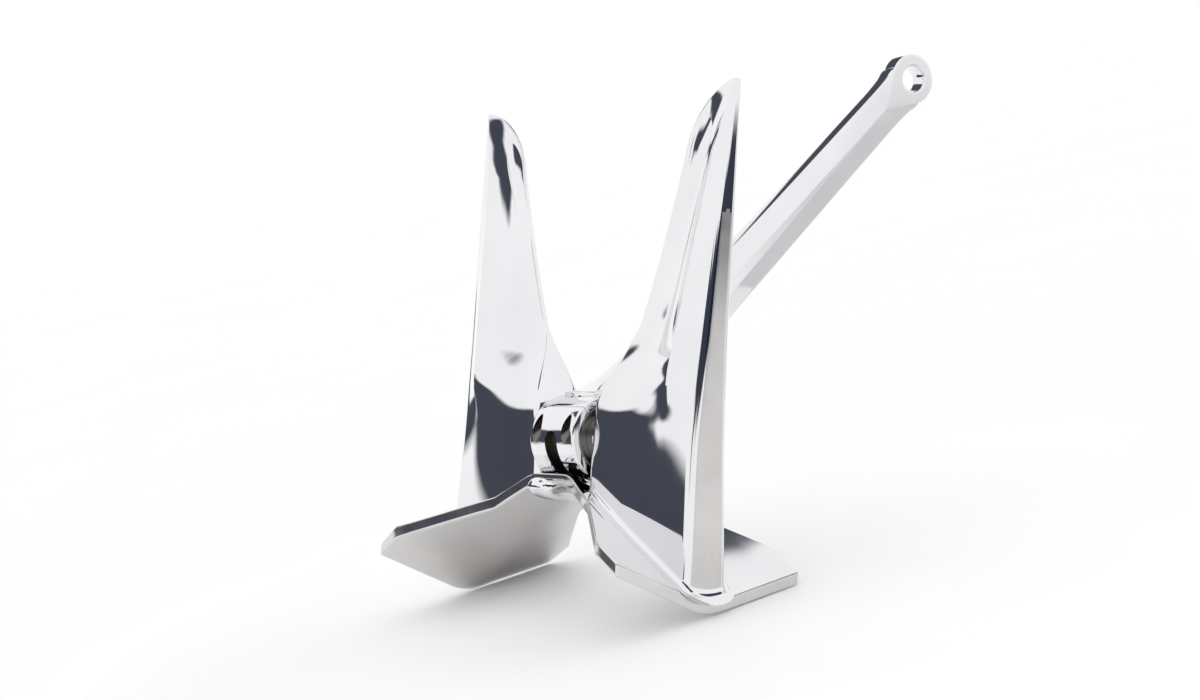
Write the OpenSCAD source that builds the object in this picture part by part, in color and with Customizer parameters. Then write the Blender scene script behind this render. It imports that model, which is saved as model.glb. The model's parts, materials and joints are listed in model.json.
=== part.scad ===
// Tilting-fluke boat anchor, 35 kg class, in polished stainless steel.
// Millimetres. +Z is up, X runs along the crown pin, the shank leans towards +Y.
// The head (flukes, palms, crown) is the fixed body; the shank swings on the crown pin.

/* [Stance] */
// Backward lean of the head when it sits on its two rear palm wings, degrees
head_tilt = 18.7; // [0:0.1:30]
// Largest shank angle either side of the fluke axis, degrees
shank_angle = 43; // [30:1:55]

/* [Flukes] */
// Height of the fluke tips above the crown pin
tip_z = 307; // [230:1:400]
// Height above the crown pin where the rounded tip begins
tip_start_z = 248; // [180:1:300]
// Outer face of the flukes at the crown pin, from the middle plane
fluke_out_x = 194; // [150:1:250]
// Extra spread of the outer face at the tip
fluke_splay = 13; // [0:1:30]
// Inner face of the fluke root, from the middle plane
fluke_in_x = 43; // [42:1:60]
// Inner edge of the fluke where the rounded tip begins
fluke_shoulder_x = 134; // [100:1:170]
// Height above the pin where the thick root gives way to the blade
root_z = 33; // [25:1:60]
// Half thickness of the fluke root
root_half_t = 27; // [24:0.5:34]
// Ridge of the blade face, from the middle plane, just above the root
ridge_root_x = 163; // [140:1:190]
// Ridge of the blade face where the rounded tip begins
ridge_tip_x = 187; // [160:1:210]
// Half thickness over the ridge where the rounded tip begins
ridge_tip_half_t = 9; // [5:0.5:15]
// Half width of the outer band at the crown pin
band_half_t = 16; // [10:0.5:22]
// Half width of the outer band at the palm
band_foot_half_t = 20.5; // [14:0.5:26]
// Half width of the outer band two thirds of the way up
band_top_half_t = 8; // [5:0.5:12]
// Depth of the hollow ground into each blade face
dish_depth = 6; // [0:0.5:9]

/* [Palms] */
// Outer edge of each palm, from the middle plane
palm_out_x = 203; // [160:1:260]
// Inner edge of each palm, where it meets the crown bridge
palm_in_x = 30; // [24:1:42]
// Half length of the palm at its outer edge
palm_half_l = 93; // [70:1:120]
// Half length of the palm at its inner edge
palm_in_half_l = 38; // [34:1:46]
// Where the palm starts to spread, from the middle plane
palm_knee_x = 79; // [60:1:100]
// Half length of the palm where it starts to spread
palm_knee_half_l = 46; // [44:1:60]
// Plate thickness measured vertically
palm_t = 11.5; // [8:0.5:20]
// Depth of the palm's lowest line below the pin
palm_z = 149; // [120:1:190]
// Sideways slope of the palm, rise per millimetre
palm_slope = 0.53; // [0.3:0.01:0.9]

/* [Hub and pin] */
// Radius of the crown pin
pin_r = 18; // [15:0.5:22]
// Radial running clearance between pin and bearing shells
pin_clear = 0.05; // [0.02:0.01:0.1]
// Wall thickness of the bearing shells
shell_t = 3; // [2:0.5:4]
// Outer radius of the shank hub
hub_r = 39; // [36:0.5:46]
// Half length of the shank hub
hub_half_l = 36; // [32:0.5:42]
// Thickness of each thrust washer
washer_t = 2; // [1.5:0.5:3]
// Outer radius of each thrust washer
washer_r = 31; // [26:0.5:36]
// Gap between thrust washer and pin boss
side_gap = 0.4; // [0.3:0.05:1]
// Radius of the pin bosses inside the fluke roots
boss_r = 25; // [23:0.5:28]
// Outer end of the pin bosses, from the middle plane
boss_end_x = 56; // [52:1:70]
// Outer end of the crown pin, from the middle plane
pin_end_x = 62; // [56:1:80]

/* [Stop] */
// Half width of the stop slot in the hub cap
slot_half_w = 10; // [6:0.5:12]
// Radius at the floor of the stop slot
slot_floor_r = 29; // [26:0.5:32]
// Half angle of the stop lug seen from the pin, degrees
lug_half_angle = 10; // [6:0.5:14]
// Angular gap left at the end of the slot, degrees
stop_gap = 0.7; // [0.4:0.1:1.5]

/* [Shank] */
// Distance from the crown pin to the centre of the eye
shank_l = 500; // [400:1:640]
// Outer radius of the eye
eye_r = 24; // [20:0.5:34]
// Radius of the eye hole
eye_hole_r = 12.5; // [9:0.5:17]
// Thickness of the eye
eye_t = 17.5; // [14:0.5:26]
// Width of the shank just below the eye
neck_w = 40; // [34:0.5:54]
// Extra width gained on the way down to the root
shank_taper_w = 12.5; // [0:0.5:24]
// Thickness over the side ridges at the root
root_t = 35; // [28:0.5:50]
// Thickness of the narrow top and bottom edges
edge_t = 15; // [10:0.5:20]
// Width of the side flat at the root
flat_w = 16; // [8:0.5:26]

/* [Cap screws] */
// Radius of the screw heads
screw_head_r = 6.5; // [5:0.25:8]
// Height of the screw heads
screw_head_h = 5.5; // [4:0.25:7]
// Thread radius of the screws
screw_r = 4; // [3:0.25:5]
// Distance of the screws either side of the middle plane
screw_x = 24; // [20:0.5:27]
// Distance of the screws from the pin axis
screw_w = 31; // [28:0.5:34]

/* [Hidden] */
$fn = 72;
// Slope of the palm wings that lays them flat when the head leans back
wing_slope = tan(head_tilt);
// Crown pin height above the ground
pin_h = palm_z * cos(head_tilt);
// Front and rear limits of the whole anchor, used to centre it
corner_z = -palm_z + wing_slope * palm_half_l;
front_y = -palm_half_l * cos(head_tilt) + corner_z * sin(head_tilt);
rear_y = shank_l * sin(head_tilt + shank_angle) + eye_r;
pin_y = -(front_y + rear_y) / 2;
// Small overlap used only inside cuts
eps = 1;
// Bearing and hub
shell_r = pin_r + shell_t;
hub_end_x = hub_half_l + washer_t;
boss_start_x = hub_end_x + side_gap;
washer_clear = 0.5;
washer_bore_r = pin_r + washer_clear;
slot_half_angle = shank_angle + lug_half_angle + stop_gap;
// Cap screws, dowels and keepers
pocket_clear = 0.6;
pocket_r = screw_head_r + pocket_clear;
pocket_floor = 4;
screw_reach = 14;
thread_clear = 0.05;
socket_r = 3;
socket_depth = 3;
dowel_r = 2.5;
dowel_half_l = 5;
keeper_r = 3.5;
keeper_x = 47;
keeper_bite = 3;
keeper_head_gap = 0.5;
// Crown bridge
bridge_in_z = -palm_z + palm_slope * (palm_out_x - palm_in_x);
bridge_top_z = bridge_in_z + palm_t;
lug_top_r = slot_floor_r + 1;
lug_side_gap = 1.5;
// Palm plan
chamfer_x = 31;
chamfer_y = 2;
// Reach of the cutters past what they cut
cut_reach = 10;
under_reach = 120;
under_margin = 20;
// Fluke loft
blade_steps = 18;
tip_steps = 8;
dish_steps = 4;
tip_power = 1.6;
fluke_base_z = -140;
foot_z = -120;
foot_spread = 5;
band_top_z = 190;
ridge_z = 60;
root_lean = 2;
blade_bow = 6;
tip_half_t = 2.5;
tip_w = 7;
splay_power = 1.3;
root_lean_l = 40;
root_edge_drop = 1;
inner_edge_half_t = 1.2;
thin_start_z = 18;
thin_l = 90;
ridge_tip_inset = 3;
ridge_tip_proud = 0.4;
dish_start_z = 42;
dish_start_l = 45;
dish_tip_loss = 0.95;
root_swell = 2;
root_swell_z = 55;
root_swell_l = 40;
band_chamfer_x = 2.5;
band_chamfer_y = 2;
// Shank loft
vee_l = 45;
vee_end = shank_l - 10;
vee_start = shank_l - vee_l;
root_d = 20;
neck_top_d = 62;
neck_steps = 8;
shank_steps = 14;
vee_steps = 4;
flare_w = 20;
flare_w_l = 22;
flare_t = 35;
flare_edge = 44;
flare_flat = 36;
flare_l = 13;
vee_swell = 4;
edge_relief = 0.4;
taper_power = 1.3;
neck_step_power = 1.3;
flat_share = 0.96;
flat_min = 0.5;
// Stop slot cutter
slot_over = 5;
slot_reach = hub_r + 30;
slot_reach_mid = slot_reach * 1.5;

// ---------- helpers ----------

function mix(a, b, t) = a + (b - a) * min(1, max(0, t));
function smooth(t) = let (c = min(1, max(0, t))) c * c * (3 - 2 * c);

// Solid through a stack of equal-length, anticlockwise sections
module loft(sections) {
    n = len(sections[0]);
    m = len(sections);
    points = [for (s = sections) for (p = s) p];
    lower = [for (i = [0:m - 2]) for (j = [0:n - 1])
        [i * n + j, (i + 1) * n + (j + 1) % n, i * n + (j + 1) % n]];
    upper = [for (i = [0:m - 2]) for (j = [0:n - 1])
        [i * n + j, (i + 1) * n + j, (i + 1) * n + (j + 1) % n]];
    floor_cap = [[for (j = [0:n - 1]) j]];
    roof_cap = [[for (j = [0:n - 1]) m * n - 1 - j]];
    polyhedron(points = points, faces = concat(lower, upper, floor_cap, roof_cap));
}

// Cylinder lying along X from x0 to x1
module rod_x(r, x0, x1) {
    translate([x0, 0, 0])
        rotate([0, 90, 0])
            cylinder(r = r, h = x1 - x0);
}

// Places head pieces: pin axis is the origin, Z runs up the flukes
module head_frame() {
    translate([0, pin_y, pin_h])
        rotate([-head_tilt, 0, 0])
            children();
}

// Places shank pieces: pin axis is the origin, Z runs up the shank
module shank_frame() {
    translate([0, pin_y, pin_h])
        rotate([-head_tilt - shank_angle, 0, 0])
            children();
}

// ---------- flukes ----------

function tip_t(z) = min(1, max(0, (z - tip_start_z) / (tip_z - tip_start_z)));
function blade_t(z) = min(1, max(0, (z - root_z) / (tip_start_z - root_z)));

// Outer face
function out_x(z) = fluke_out_x + fluke_splay * pow(max(0, z) / tip_z, splay_power)
    + foot_spread * smooth(z / foot_z);
function out_y(z) = z < 0 ? mix(band_half_t, band_foot_half_t, z / foot_z)
    : z < band_top_z ? mix(band_half_t, band_top_half_t, z / band_top_z)
    : mix(band_top_half_t, tip_half_t, (z - band_top_z) / (tip_z - band_top_z));

// Inner edge: straight root, slightly bowed blade, rounded tip
function tip_sweep(z) = pow(1 - pow(tip_t(z), tip_power), 1 / tip_power);
function tip_in_x() = out_x(tip_z) - tip_w;
function in_x(z) = z < root_z ? fluke_in_x + root_lean * smooth((z + root_lean_l) / (root_z + root_lean_l))
    : z < tip_start_z ? mix(fluke_in_x + root_lean, fluke_shoulder_x, blade_t(z))
        + blade_bow * sin(180 * blade_t(z))
    : tip_in_x() - (tip_in_x() - fluke_shoulder_x) * tip_sweep(z);
function in_y(z) = mix(root_half_t - root_edge_drop, inner_edge_half_t, smooth((z - thin_start_z) / thin_l));

// Ridge between the hollow face and the outer bevel
function ridge_t(z) = (z - ridge_z) / (tip_start_z - ridge_z);
function ridge_x(z) = z < tip_start_z ? ridge_root_x + (ridge_tip_x - ridge_root_x) * ridge_t(z)
    : mix(ridge_tip_x, out_x(tip_z) - ridge_tip_inset, tip_t(z));
function ridge_y(z) = z < tip_start_z ? mix(root_half_t, ridge_tip_half_t, ridge_t(z))
    : mix(ridge_tip_half_t, tip_half_t + ridge_tip_proud, tip_t(z));
function hollow(z) = dish_depth * smooth((z - dish_start_z) / dish_start_l)
        * (1 - dish_tip_loss * smooth(tip_t(z)))
    - root_swell * smooth((root_swell_z - z) / root_swell_l);

// Front half of one section, inner edge first
function fluke_half(z) = concat(
    [for (i = [0:dish_steps]) let (t = i / dish_steps)
        [mix(in_x(z), ridge_x(z), t), -mix(in_y(z), ridge_y(z), t) + hollow(z) * 4 * t * (1 - t), z]],
    [[out_x(z) - band_chamfer_x, -out_y(z), z], [out_x(z), -out_y(z) + band_chamfer_y, z]]);
function fluke_section(z) = let (h = fluke_half(z), n = len(h))
    concat(h, [for (i = [n - 1:-1:0]) [h[i][0], -h[i][1], z]]);

function fluke_stations() = concat(
    [for (i = [0:blade_steps]) mix(fluke_base_z, tip_start_z, i / blade_steps)],
    [for (i = [1:tip_steps]) tip_start_z + (tip_z - tip_start_z) * sin(90 * i / tip_steps)]);

// Everything the palm and bridge occupy under the fluke
module under_fluke() {
    palm_block(palm_t, palm_t - under_reach, palm_in_x, palm_out_x + under_margin);
    bridge_fold(0, palm_in_x, palm_t, palm_t - under_reach);
}

module fluke_blank() {
    difference() {
        loft([for (z = fluke_stations()) fluke_section(z)]);
        under_fluke();
        rod_x(boss_r, 0, boss_end_x);
        rod_x(pin_r, 0, pin_end_x);
        translate([keeper_x, 0, 0])
            rotate([-90, 0, 0])
                cylinder(r = keeper_r, h = root_half_t + cut_reach);
    }
}

module fluke_right() {
    color("#c9ccd1")
        head_frame()
            fluke_blank();
}

module fluke_left() {
    color("#c9ccd1")
        head_frame()
            mirror([1, 0, 0])
                fluke_blank();
}

// ---------- palms ----------

function palm_base(x, y) = -palm_z + wing_slope * abs(y) + palm_slope * (palm_out_x - x);

// Folded slab between two heights over the palm's lower surface
module palm_block(top, bottom, x0, x1) {
    side = [[x0, palm_in_half_l], [palm_knee_x, palm_knee_half_l],
            [palm_out_x - chamfer_x, palm_half_l + chamfer_y], [x1, palm_half_l]];
    plan = concat([[x0, 0]], side, [[x1, 0]], [for (i = [3:-1:0]) [side[i][0], -side[i][1]]]);
    points = concat([for (p = plan) [p[0], p[1], palm_base(p[0], p[1]) + bottom]],
                    [for (p = plan) [p[0], p[1], palm_base(p[0], p[1]) + top]]);
    n = len(plan);
    walls = [for (i = [0:n - 1]) [i, (i + 1) % n, n + (i + 1) % n, n + i]];
    caps = [[5, 4, 3, 2, 1, 0], [0, 9, 8, 7, 6, 5],
            [10, 11, 12, 13, 14, 15], [15, 16, 17, 18, 19, 10]];
    polyhedron(points = points, faces = concat(walls, caps));
}

module palm_right() {
    color("#aeb2b8")
        head_frame()
            palm_block(palm_t, 0, palm_in_x, palm_out_x);
}

module palm_left() {
    color("#aeb2b8")
        head_frame()
            mirror([1, 0, 0])
                palm_block(palm_t, 0, palm_in_x, palm_out_x);
}

// ---------- crown ----------

module boss_blank() {
    difference() {
        rod_x(boss_r, boss_start_x, boss_end_x);
        rod_x(pin_r, boss_start_x - eps, boss_end_x + eps);
        translate([keeper_x, 0, 0])
            rotate([-90, 0, 0])
                cylinder(r = keeper_r, h = boss_r + eps);
    }
}

module boss_right() {
    color("#b7bac0")
        head_frame()
            boss_blank();
}

module boss_left() {
    color("#b7bac0")
        head_frame()
            mirror([1, 0, 0])
                boss_blank();
}

// Folded plate across the crown between two heights over its lower surface
module bridge_fold(x0, x1, top, bottom) {
    rise = wing_slope * palm_in_half_l;
    translate([x0, 0, bridge_in_z])
        rotate([90, 0, 90])
            linear_extrude(height = x1 - x0)
                polygon([[-palm_in_half_l, rise + bottom], [0, bottom], [palm_in_half_l, rise + bottom],
                         [palm_in_half_l, rise + top], [0, top], [-palm_in_half_l, rise + top]]);
}

module crown_bridge() {
    color("#b3b6bc")
        head_frame()
            bridge_fold(-palm_in_x, palm_in_x, palm_t, 0);
}

module stop_lug() {
    half = lug_half_angle;
    foot = -bridge_top_z * tan(half) / (1 + wing_slope * tan(half));
    foot_top_z = bridge_top_z + wing_slope * foot;
    color("#b3b6bc")
        head_frame()
            translate([-slot_half_w + lug_side_gap, 0, 0])
                rotate([90, 0, 90])
                    linear_extrude(height = 2 * (slot_half_w - lug_side_gap))
                        polygon([[-lug_top_r * sin(half), -lug_top_r * cos(half)],
                                 [-foot, foot_top_z],
                                 [0, bridge_top_z],
                                 [foot, foot_top_z],
                                 [lug_top_r * sin(half), -lug_top_r * cos(half)]]);
}

module crown_pin() {
    color("#8d9198")
        head_frame()
            difference() {
                rod_x(pin_r, -pin_end_x, pin_end_x);
                for (s = [-1, 1])
                    translate([s * keeper_x, pin_r - keeper_bite, 0])
                        rotate([-90, 0, 0])
                            cylinder(r = keeper_r, h = 2 * keeper_bite);
            }
}

module keeper_blank() {
    translate([keeper_x, pin_r - keeper_bite, 0])
        rotate([-90, 0, 0])
            difference() {
                cylinder(r = keeper_r, h = boss_r - keeper_head_gap - pin_r + keeper_bite);
                translate([0, 0, boss_r - keeper_head_gap - pin_r])
                    cylinder(r = keeper_r / 2, h = keeper_bite + eps, $fn = 6);
            }
}

module pin_keeper_right() {
    color("#6f737a")
        head_frame()
            keeper_blank();
}

module pin_keeper_left() {
    color("#6f737a")
        head_frame()
            mirror([1, 0, 0])
                keeper_blank();
}

// ---------- shank ----------

// How far down the shank a point is, 0 at the neck and 1 at the root
function down(d) = (vee_start - d) / (vee_start - root_d);
// Swelling where the shank runs out into the hub
function flare(d, length) = exp(-(d - root_d) / length);
function vee_t(d) = min(1, max(0, (d - vee_start) / (vee_end - vee_start)));

function shank_w(d) = d > vee_start ? neck_w + vee_swell * vee_t(d) * vee_t(d)
    : neck_w + shank_taper_w * pow(down(d), taper_power) + flare_w * flare(d, flare_w_l);
function shank_t(d) = d > vee_start ? eye_t : mix(eye_t, root_t, down(d)) + flare_t * flare(d, flare_l);
function shank_flat(d) = d > vee_start ? shank_w(d) * vee_t(d)
    : flat_w * down(d) + flare_flat * flare(d, flare_l);
function shank_edge(d) = d > vee_start
    ? mix(edge_t, eye_t - edge_relief, vee_t(d))
    : edge_t + flare_edge * flare(d, flare_l);

function shank_section(d) = let (e = shank_edge(d) / 2, w = shank_w(d) / 2, t = shank_t(d) / 2,
                                 f = max(flat_min, flat_share * shank_flat(d) / 2))
    [[-e, -w, d], [e, -w, d], [t, -f, d], [t, f, d], [e, w, d], [-e, w, d], [-t, f, d], [-t, -f, d]];

// Heights of the sections of the neck on the hub saddle, and of the bar above it
function neck_stations() = [for (i = [0:neck_steps])
    mix(root_d, neck_top_d, pow(i / neck_steps, neck_step_power))];
function shank_stations() = concat(
    [for (i = [0:shank_steps]) mix(neck_top_d, vee_start, i / shank_steps)],
    [for (i = [1:vee_steps]) mix(vee_start, vee_end, i / vee_steps)]);

// Half of the hub: side +1 faces the eye, -1 faces away from it
module hub_half(side) {
    difference() {
        rod_x(hub_r, -hub_half_l, hub_half_l);
        rod_x(shell_r, -hub_half_l - eps, hub_half_l + eps);
        translate([-hub_half_l - eps, -hub_r - eps, side > 0 ? -hub_r - eps : 0])
            cube([2 * (hub_half_l + eps), 2 * (hub_r + eps), hub_r + eps]);
    }
}

module shank() {
    color("#c9ccd1")
        shank_frame()
            difference() {
                union() {
                    loft([for (d = shank_stations()) shank_section(d)]);
                    translate([0, 0, shank_l])
                        rod_x(eye_r, -eye_t / 2, eye_t / 2);
                }
                translate([0, 0, shank_l])
                    rod_x(eye_hole_r, -eye_t, eye_t);
            }
}

module hub_saddle() {
    color("#c9ccd1")
        shank_frame()
            difference() {
                union() {
                    hub_half(1);
                    loft([for (d = neck_stations()) shank_section(d)]);
                }
                rod_x(shell_r, -hub_half_l - eps, hub_half_l + eps);
                for (sx = [-1, 1])
                    for (sy = [-1, 1])
                        translate([sx * screw_x, sy * screw_w, -eps])
                            cylinder(r = screw_r, h = screw_reach + eps);
                for (sy = [-1, 1])
                    translate([0, sy * screw_w, -eps])
                        cylinder(r = dowel_r, h = dowel_half_l + eps);
            }
}

// Sector of the stop slot, opening away from the eye
module slot_cut() {
    a = slot_half_angle;
    intersection() {
        difference() {
            rod_x(hub_r + slot_over, -slot_half_w, slot_half_w);
            rod_x(slot_floor_r, -slot_half_w - eps, slot_half_w + eps);
        }
        translate([-slot_half_w, 0, 0])
            rotate([90, 0, 90])
                linear_extrude(height = 2 * slot_half_w)
                    polygon([[0, 0], [-slot_reach * sin(a), -slot_reach * cos(a)], [0, -slot_reach_mid],
                             [slot_reach * sin(a), -slot_reach * cos(a)]]);
    }
}

module hub_cap() {
    color("#c2c5ca")
        shank_frame()
            difference() {
                hub_half(-1);
                slot_cut();
                for (sx = [-1, 1])
                    for (sy = [-1, 1])
                        translate([sx * screw_x, sy * screw_w, 0]) {
                            translate([0, 0, -hub_r - eps])
                                cylinder(r = pocket_r, h = hub_r + eps - pocket_floor);
                            translate([0, 0, -pocket_floor - eps])
                                cylinder(r = screw_r, h = pocket_floor + 2 * eps);
                        }
                for (sy = [-1, 1])
                    translate([0, sy * screw_w, -dowel_half_l])
                        cylinder(r = dowel_r, h = dowel_half_l + eps);
            }
}

module shell_half(side) {
    difference() {
        rod_x(shell_r, -hub_half_l, hub_half_l);
        rod_x(pin_r + pin_clear, -hub_half_l - eps, hub_half_l + eps);
        translate([-hub_half_l - eps, -shell_r - eps, side > 0 ? -shell_r - eps : 0])
            cube([2 * (hub_half_l + eps), 2 * (shell_r + eps), shell_r + eps]);
    }
}

module shell_upper() {
    color("#a8874f")
        shank_frame()
            shell_half(1);
}

module shell_lower() {
    color("#a8874f")
        shank_frame()
            shell_half(-1);
}

module washer_blank() {
    difference() {
        rod_x(washer_r, hub_half_l, hub_end_x);
        rod_x(washer_bore_r, hub_half_l - eps, hub_end_x + eps);
    }
}

module thrust_washer_right() {
    color("#84888f")
        shank_frame()
            washer_blank();
}

module thrust_washer_left() {
    color("#84888f")
        shank_frame()
            mirror([1, 0, 0])
                washer_blank();
}

// One hub cap screw, sx and sy picking the corner
module cap_screw(sx, sy) {
    color("#84888f")
        shank_frame()
            translate([sx * screw_x, sy * screw_w, 0])
                difference() {
                    union() {
                        translate([0, 0, -pocket_floor - screw_head_h])
                            cylinder(r = screw_head_r, h = screw_head_h);
                        translate([0, 0, -pocket_floor - eps])
                            cylinder(r = screw_r - thread_clear, h = pocket_floor + screw_reach);
                    }
                    translate([0, 0, -pocket_floor - screw_head_h - eps])
                        cylinder(r = socket_r, h = socket_depth + eps, $fn = 6);
                }
}

module cap_screw_front_left() {
    cap_screw(-1, -1);
}

module cap_screw_front_right() {
    cap_screw(1, -1);
}

module cap_screw_rear_left() {
    cap_screw(-1, 1);
}

module cap_screw_rear_right() {
    cap_screw(1, 1);
}

module cap_dowel(sy) {
    color("#84888f")
        shank_frame()
            translate([0, sy * screw_w, -dowel_half_l])
                cylinder(r = dowel_r, h = 2 * dowel_half_l);
}

module cap_dowel_front() {
    cap_dowel(-1);
}

module cap_dowel_rear() {
    cap_dowel(1);
}

fluke_left();
fluke_right();
palm_left();
palm_right();
boss_left();
boss_right();
crown_bridge();
stop_lug();
crown_pin();
pin_keeper_left();
pin_keeper_right();
shank();
hub_saddle();
hub_cap();
shell_upper();
shell_lower();
thrust_washer_left();
thrust_washer_right();
cap_screw_front_left();
cap_screw_front_right();
cap_screw_rear_left();
cap_screw_rear_right();
cap_dowel_front();
cap_dowel_rear();
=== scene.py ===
import json
import math

import bmesh
import bpy
import numpy as np
from mathutils import Matrix, Vector


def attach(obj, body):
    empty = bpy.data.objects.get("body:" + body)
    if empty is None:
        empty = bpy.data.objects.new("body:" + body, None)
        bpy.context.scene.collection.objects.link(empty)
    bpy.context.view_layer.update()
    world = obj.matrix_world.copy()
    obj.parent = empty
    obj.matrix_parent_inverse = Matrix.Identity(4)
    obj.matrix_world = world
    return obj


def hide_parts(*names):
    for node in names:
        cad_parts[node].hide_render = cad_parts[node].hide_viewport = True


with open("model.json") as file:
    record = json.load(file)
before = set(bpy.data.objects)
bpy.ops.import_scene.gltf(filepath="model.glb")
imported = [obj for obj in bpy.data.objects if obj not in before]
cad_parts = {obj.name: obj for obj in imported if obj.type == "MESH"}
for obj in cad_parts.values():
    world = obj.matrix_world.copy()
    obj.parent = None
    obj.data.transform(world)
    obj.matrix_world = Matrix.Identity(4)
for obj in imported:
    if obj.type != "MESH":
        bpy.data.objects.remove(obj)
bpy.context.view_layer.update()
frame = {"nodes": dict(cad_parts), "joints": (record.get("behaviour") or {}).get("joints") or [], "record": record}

MM = 0.001
HINGE = np.array(frame["joints"][0]["pos_m"])
TILT = math.radians(18.7)
SWING = math.radians(43.0)


# ---------- placing ----------

def placed(points, lean):
    """Millimetres in a piece's own frame, pin axis at the origin, to metres in the row frame."""
    p = np.asarray(points, float)
    c, s = math.cos(lean), math.sin(lean)
    out = np.empty_like(p)
    out[:, 0] = p[:, 0]
    out[:, 1] = p[:, 1] * c + p[:, 2] * s
    out[:, 2] = -p[:, 1] * s + p[:, 2] * c
    return out * MM + HINGE


def head(points):
    return placed(points, TILT)


def arm(points):
    return placed(points, TILT + SWING)


def mix(a, b, t):
    return a + (b - a) * np.clip(t, 0, 1)


def smooth(t):
    t = np.clip(t, 0, 1)
    return t * t * (3 - 2 * t)


# ---------- mesh helpers ----------

def new_mesh(name, verts, faces, mats, face_mats=None, sharp=None, shade=True):
    me = bpy.data.meshes.new(name)
    me.from_pydata([tuple(v) for v in verts], [], [tuple(int(i) for i in f) for f in faces])
    for m in mats:
        me.materials.append(m)
    if face_mats is not None:
        me.polygons.foreach_set("material_index", [int(i) for i in face_mats])
    me.polygons.foreach_set("use_smooth", [shade] * len(me.polygons))
    if sharp:
        keys = set(tuple(sorted(e)) for e in sharp)
        for e in me.edges:
            if tuple(sorted(e.vertices)) in keys:
                e.use_edge_sharp = True
    me.update()
    ob = bpy.data.objects.new(name, me)
    bpy.context.scene.collection.objects.link(ob)
    return ob


def tidy_mesh(ob, merge=0.0):
    bm = bmesh.new()
    bm.from_mesh(ob.data)
    if merge:
        bmesh.ops.remove_doubles(bm, verts=bm.verts, dist=merge)
    bmesh.ops.recalc_face_normals(bm, faces=bm.faces)
    bm.to_mesh(ob.data)
    bm.free()
    return ob


def baked(ob):
    """Applies the modifiers of a piece."""
    dg = bpy.context.evaluated_depsgraph_get()
    me = bpy.data.meshes.new_from_object(ob.evaluated_get(dg))
    ob.modifiers.clear()
    ob.data = me
    return ob


def sharpen(ob, degrees):
    bm = bmesh.new()
    bm.from_mesh(ob.data)
    lim = math.radians(degrees)
    for e in bm.edges:
        e.smooth = len(e.link_faces) != 2 or e.calc_face_angle(0) < lim
    for f in bm.faces:
        f.smooth = True
    bm.to_mesh(ob.data)
    bm.free()


def soften(ob, width, segments=3, angle=35):
    m = ob.modifiers.new("edge", "BEVEL")
    m.width = width * MM
    m.segments = segments
    m.limit_method = "ANGLE"
    m.angle_limit = math.radians(angle)
    m.harden_normals = True
    m.use_clamp_overlap = True
    return ob


def grid_faces(rows, cols, wrap=False, start=0):
    f = []
    last = cols if wrap else cols - 1
    for i in range(rows - 1):
        for j in range(last):
            a = start + i * cols + j
            b = start + i * cols + (j + 1) % cols
            f.append((a, b, b + cols, a + cols))
    return f


# ---------- materials ----------

def material(name):
    m = bpy.data.materials.new(name)
    m.use_nodes = True
    nt = m.node_tree
    nt.nodes.clear()
    out = nt.nodes.new("ShaderNodeOutputMaterial")
    bsdf = nt.nodes.new("ShaderNodeBsdfPrincipled")
    nt.links.new(bsdf.outputs[0], out.inputs[0])
    coord = nt.nodes.new("ShaderNodeTexCoord")
    return m, nt, bsdf, coord


def noise(nt, coord, scale, detail=2.0, stretch=None):
    n = nt.nodes.new("ShaderNodeTexNoise")
    n.inputs["Scale"].default_value = scale
    n.inputs["Detail"].default_value = detail
    src = coord.outputs["Object"]
    if stretch:
        mp = nt.nodes.new("ShaderNodeMapping")
        mp.inputs["Scale"].default_value = stretch
        nt.links.new(src, mp.inputs["Vector"])
        src = mp.outputs[0]
    nt.links.new(src, n.inputs["Vector"])
    return n.outputs[0]


def spread(nt, value, lo, hi, from_lo=0.3, from_hi=0.7):
    r = nt.nodes.new("ShaderNodeMapRange")
    r.inputs["From Min"].default_value = from_lo
    r.inputs["From Max"].default_value = from_hi
    r.inputs["To Min"].default_value = lo
    r.inputs["To Max"].default_value = hi
    nt.links.new(value, r.inputs["Value"])
    return r.outputs[0]


def tint(nt, value, a, b):
    mx = nt.nodes.new("ShaderNodeMix")
    mx.data_type = "RGBA"
    mx.inputs["A"].default_value = (*a, 1)
    mx.inputs["B"].default_value = (*b, 1)
    nt.links.new(value, mx.inputs["Factor"])
    return mx.outputs["Result"]


def bump(nt, height, strength, distance, after=None):
    b = nt.nodes.new("ShaderNodeBump")
    b.inputs["Strength"].default_value = strength
    b.inputs["Distance"].default_value = distance
    nt.links.new(height, b.inputs["Height"])
    if after:
        nt.links.new(after, b.inputs["Normal"])
    return b.outputs[0]


# Noise scales per metre: colour clouds, roughness patches, slow waves of the surface and fine scratches
CLOUD_SCALE, PATCH_SCALE, WAVE_SCALE, SCRATCH_SCALE = 14.0, 38.0, 16.0, 900.0
SCRATCH_STRENGTH = 0.35


def steel(name, light, dark, rough, wave, scratch, stretch=None):
    """Metal between two colours and two roughnesses; wave and scratch are bump heights in metres."""
    m, nt, bsdf, coord = material(name)
    bsdf.inputs["Metallic"].default_value = 1.0
    cloud = noise(nt, coord, CLOUD_SCALE, 3.0)
    nt.links.new(tint(nt, spread(nt, cloud, 0.0, 1.0), light, dark), bsdf.inputs["Base Color"])
    patch = noise(nt, coord, PATCH_SCALE, 4.0)
    nt.links.new(spread(nt, patch, rough[0], rough[1]), bsdf.inputs["Roughness"])
    n1 = bump(nt, noise(nt, coord, WAVE_SCALE, 1.0), 1.0, wave)
    n2 = bump(nt, noise(nt, coord, SCRATCH_SCALE, 3.0, stretch), SCRATCH_STRENGTH, scratch, n1)
    nt.links.new(n2, bsdf.inputs["Normal"])
    return m


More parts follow.
